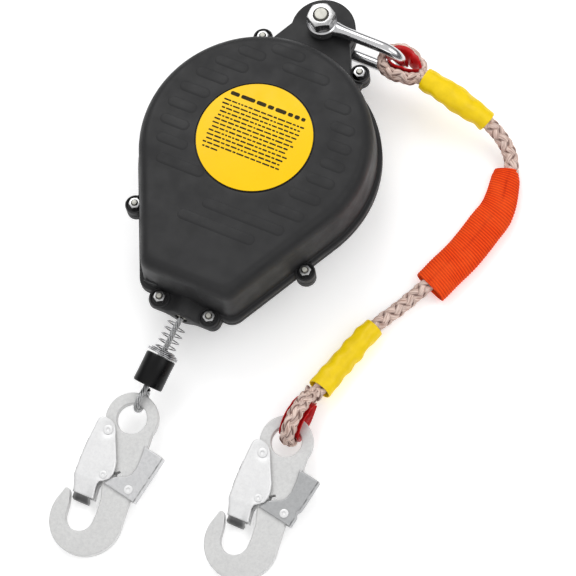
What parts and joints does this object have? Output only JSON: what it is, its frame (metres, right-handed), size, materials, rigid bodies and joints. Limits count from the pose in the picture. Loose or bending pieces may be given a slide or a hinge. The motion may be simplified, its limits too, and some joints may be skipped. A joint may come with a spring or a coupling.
{
  "type": "self retracting lifeline",
  "caption": "Steel-cable fall arrest block with round plastic housing, hanging shackle, rope anchor sling and double-action snap hooks.",
  "frame": {"origin": "on the reel axis, on the housing's flat back face", "axes": "+Z out of the front cover, +Y towards the hanging ear, line leaves towards -Y"},
  "size_m": [0.2825, 0.469, 0.0862],
  "materials": {
    "black_plastic": "matte",
    "label": "satin",
    "bright_plate": "polished",
    "zinc": "satin",
    "dark_steel": "satin",
    "spring_steel": "polished",
    "friction": "matte",
    "cast_aluminium": "satin",
    "bronze": "satin",
    "cable": "satin",
    "black_rubber": "gloss",
    "rope": "matte",
    "red_plastic": "satin",
    "yellow_shrink": "satin",
    "orange_webbing": "matte"
  },
  "bodies": {
    "housing": {"front_cover": "black_plastic", "rear_cover": "black_plastic", "label_plate": "label", "hanger_frame": "dark_steel", "main_shaft": "dark_steel", "shaft_nut": "dark_steel", "power_spring": "spring_steel", "exit_bush": "bronze", "cable_inner_run": "cable", "friction_ring_rear": "friction", "friction_ring_front": "friction", "clamp_ring": "dark_steel", "cover_bolt_1": "bright_plate", "cover_bolt_2": "bright_plate", "cover_bolt_3": "bright_plate", "cover_bolt_4": "bright_plate", "cover_bolt_5": "bright_plate", "cover_bolt_6": "bright_plate", "cover_nut_1": "bright_plate", "cover_nut_2": "bright_plate", "cover_nut_3": "bright_plate", "cover_nut_4": "bright_plate", "cover_nut_5": "bright_plate", "cover_nut_6": "bright_plate"},
    "drum": {"cable_drum": "cast_aluminium", "cable_winding": "cable", "drum_bush": "bronze", "pawl_pin_1": "spring_steel", "pawl_pin_2": "spring_steel", "pawl_spring_1": "spring_steel", "pawl_spring_2": "spring_steel"},
    "brake": {"brake_ring": "dark_steel"},
    "pawl_one": {"pawl_1": "spring_steel"},
    "pawl_two": {"pawl_2": "spring_steel"},
    "line": {"line_cable": "cable", "line_bumper": "black_rubber", "line_ferrule": "cast_aluminium", "recoil_spring": "spring_steel", "cable_loop": "cable"},
    "line_hook": {"line_hook_body": "zinc", "line_hook_gate_rivet": "zinc", "line_hook_lever_rivet": "zinc"},
    "line_gate": {"line_hook_gate": "zinc", "line_hook_gate_pin": "zinc"},
    "line_lever": {"line_hook_lever": "zinc"},
    "shackle": {"shackle_bow": "bright_plate", "shackle_bolt": "bright_plate", "shackle_nut": "bright_plate"},
    "sling": {"sling_rope": "rope", "upper_thimble": "red_plastic", "lower_thimble": "red_plastic", "upper_sleeve": "yellow_shrink", "lower_sleeve": "yellow_shrink", "webbing_sleeve": "orange_webbing"},
    "anchor_hook": {"anchor_hook_body": "zinc", "anchor_hook_gate_rivet": "zinc", "anchor_hook_lever_rivet": "zinc"},
    "anchor_gate": {"anchor_hook_gate": "zinc", "anchor_hook_gate_pin": "zinc"},
    "anchor_lever": {"anchor_hook_lever": "zinc"}
  },
  "joints": [
    {"name": "line_pull", "type": "slide", "parent": "housing", "child": "line", "axis": [0, -1, 0], "range_m": [0, 0.4909], "stiffness_N_per_m": 40, "springref_m": -0.25},
    {"name": "drum_spin", "type": "hinge", "parent": "housing", "child": "drum", "pos_m": [0, 0, 0.043], "axis": [0, 0, 1], "range_deg": [0, 480]},
    {"name": "brake_slip", "type": "hinge", "parent": "housing", "child": "brake", "pos_m": [0, 0, 0.0158], "axis": [0, 0, 1], "continuous": true},
    {"name": "pawl_one_swing", "type": "hinge", "parent": "drum", "child": "pawl_one", "pos_m": [0.024, 0, 0.0159], "axis": [0, 0, -1], "range_deg": [0, 18], "stiffness_Nm_per_rad": 0.02, "springref_deg": -22.92},
    {"name": "pawl_two_swing", "type": "hinge", "parent": "drum", "child": "pawl_two", "pos_m": [-0.024, 0, 0.0159], "axis": [0, 0, -1], "range_deg": [0, 18], "stiffness_Nm_per_rad": 0.02, "springref_deg": -22.92},
    {"name": "line_hook_swing", "type": "hinge", "parent": "line", "child": "line_hook", "pos_m": [-0.006, -0.217, 0.0086], "axis": [0, -0.1219, 0.9925], "range_deg": [-25, 20]},
    {"name": "line_gate", "type": "hinge", "parent": "line_hook", "child": "line_gate", "pos_m": [-0.018, -0.23189, 0.00677], "axis": [0, -0.1219, 0.9925], "range_deg": [0, 18], "stiffness_Nm_per_rad": 0.25, "springref_deg": -17.19},
    {"name": "line_lever", "type": "hinge", "parent": "line_hook", "child": "line_lever", "pos_m": [0.015, -0.26663, 0.00251], "axis": [0, -0.1219, 0.9925], "range_deg": [0, 12], "stiffness_Nm_per_rad": 0.2, "springref_deg": -17.19},
    {"name": "shackle_swing", "type": "hinge", "parent": "housing", "child": "shackle", "pos_m": [0, 0.117, 0.043], "axis": [0, 0, 1], "range_deg": [-3, 50]},
    {"name": "sling_swing", "type": "hinge", "parent": "shackle", "child": "sling", "pos_m": [0.06699, 0.11583, 0.043], "axis": [0, 0, 1], "range_deg": [-3, 20]},
    {"name": "anchor_hook_swing", "type": "hinge", "parent": "sling", "child": "anchor_hook", "pos_m": [0.1075, -0.188, 0.0086], "axis": [0, -0.1219, 0.9925], "range_deg": [-12, 25]},
    {"name": "anchor_gate", "type": "hinge", "parent": "anchor_hook", "child": "anchor_gate", "pos_m": [0.0955, -0.20289, 0.00677], "axis": [0, -0.1219, 0.9925], "range_deg": [0, 18], "stiffness_Nm_per_rad": 0.25, "springref_deg": -17.19},
    {"name": "anchor_lever", "type": "hinge", "parent": "anchor_hook", "child": "anchor_lever", "pos_m": [0.1285, -0.23763, 0.00251], "axis": [0, -0.1219, 0.9925], "range_deg": [0, 12], "stiffness_Nm_per_rad": 0.2, "springref_deg": -17.19}
  ],
  "couplings": [
    {"joint": "drum_spin", "follows": "line_pull", "rad_per_m": 17.065}
  ]
}
